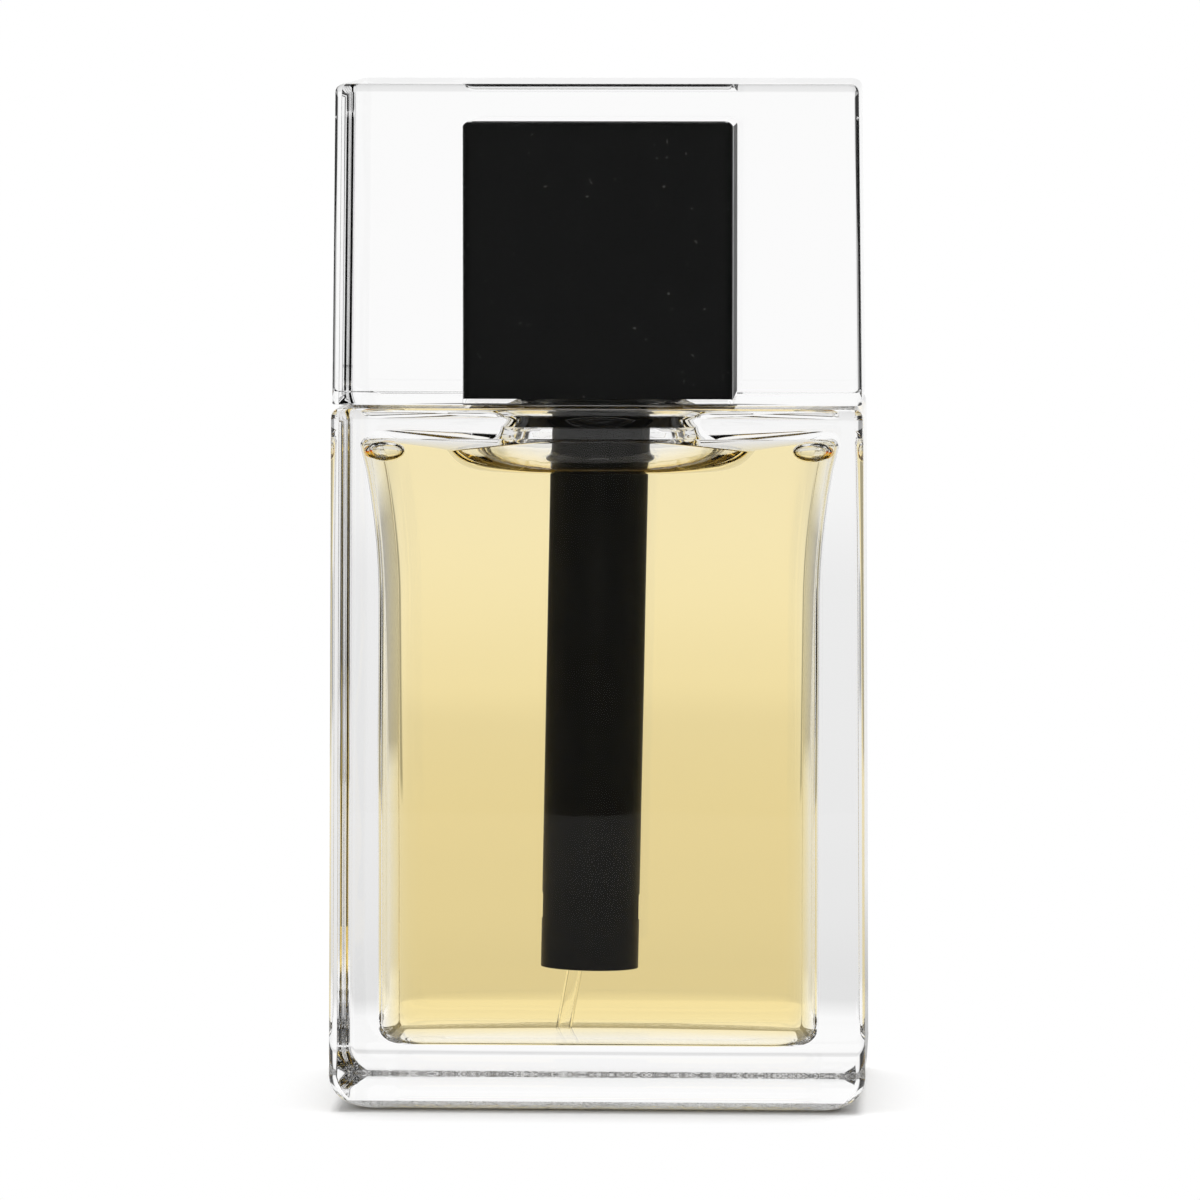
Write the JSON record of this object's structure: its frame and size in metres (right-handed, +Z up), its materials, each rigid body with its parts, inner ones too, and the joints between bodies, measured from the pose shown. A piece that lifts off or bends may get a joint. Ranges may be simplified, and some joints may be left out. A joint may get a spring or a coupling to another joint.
{
  "type": "aftershave spray bottle",
  "caption": "Rectangular thick glass spray bottle of amber lotion with a black sleeve around its dip tube and a clear block cap with a square black core.",
  "frame": {"origin": "middle of the bottle's base, on the surface that it stands on", "axes": "+Z up through the neck, +X to the right across the front, the front face and the nozzle towards -Y"},
  "size_m": [0.061, 0.039, 0.1165],
  "materials": {
    "flint_glass": "polished clear glass",
    "lotion": "clear amber liquid",
    "gasket_rubber": "soft matte",
    "pump_plastic": "natural milky moulding",
    "clear_tube": "clear extruded tube",
    "sleeve_plastic": "smooth black tube",
    "ball_steel": "polished ball",
    "spring_steel": "drawn wire",
    "ferrule_aluminium": "pressed sheet",
    "black_anodised": "black anodised satin",
    "black_moulding": "matte black moulding",
    "clear_acrylic": "polished clear block",
    "core_lacquer": "satin black lacquer"
  },
  "bodies": {
    "bottle": {"glass_bottle": "flint_glass", "lotion_fill": "lotion", "neck_gasket": "gasket_rubber", "pump_housing": "pump_plastic", "dip_tube": "clear_tube", "tube_sleeve": "sleeve_plastic", "spring_seat": "pump_plastic", "return_spring": "spring_steel", "pump_turret": "pump_plastic", "stem_seal": "gasket_rubber", "crimp_ferrule": "ferrule_aluminium", "collar_ring": "black_anodised"},
    "inlet_valve": {"inlet_ball": "ball_steel"},
    "plunger": {"pump_stem": "pump_plastic", "pump_piston": "pump_plastic"},
    "button": {"button_core": "black_moulding", "button_shell": "black_anodised", "nozzle_insert": "black_moulding"},
    "cap": {"cap_block": "clear_acrylic", "cap_core": "core_lacquer", "cap_liner": "black_moulding"}
  },
  "joints": [
    {"name": "cap_lift", "type": "slide", "parent": "bottle", "child": "cap", "axis": [0, 0, 1], "range_m": [0, 0.045]},
    {"name": "button_press", "type": "slide", "parent": "bottle", "child": "plunger", "axis": [0, 0, -1], "range_m": [0, 0.0046], "stiffness_N_per_m": 900, "springref_m": -0.003, "deforming": ["return_spring"]},
    {"name": "button_turn", "type": "hinge", "parent": "plunger", "child": "button", "pos_m": [0, 0, 0.0969], "axis": [0, 0, 1], "continuous": true},
    {"name": "ball_lift", "type": "slide", "parent": "bottle", "child": "inlet_valve", "axis": [0, 0, 1], "range_m": [0, 0.0008]}
  ]
}
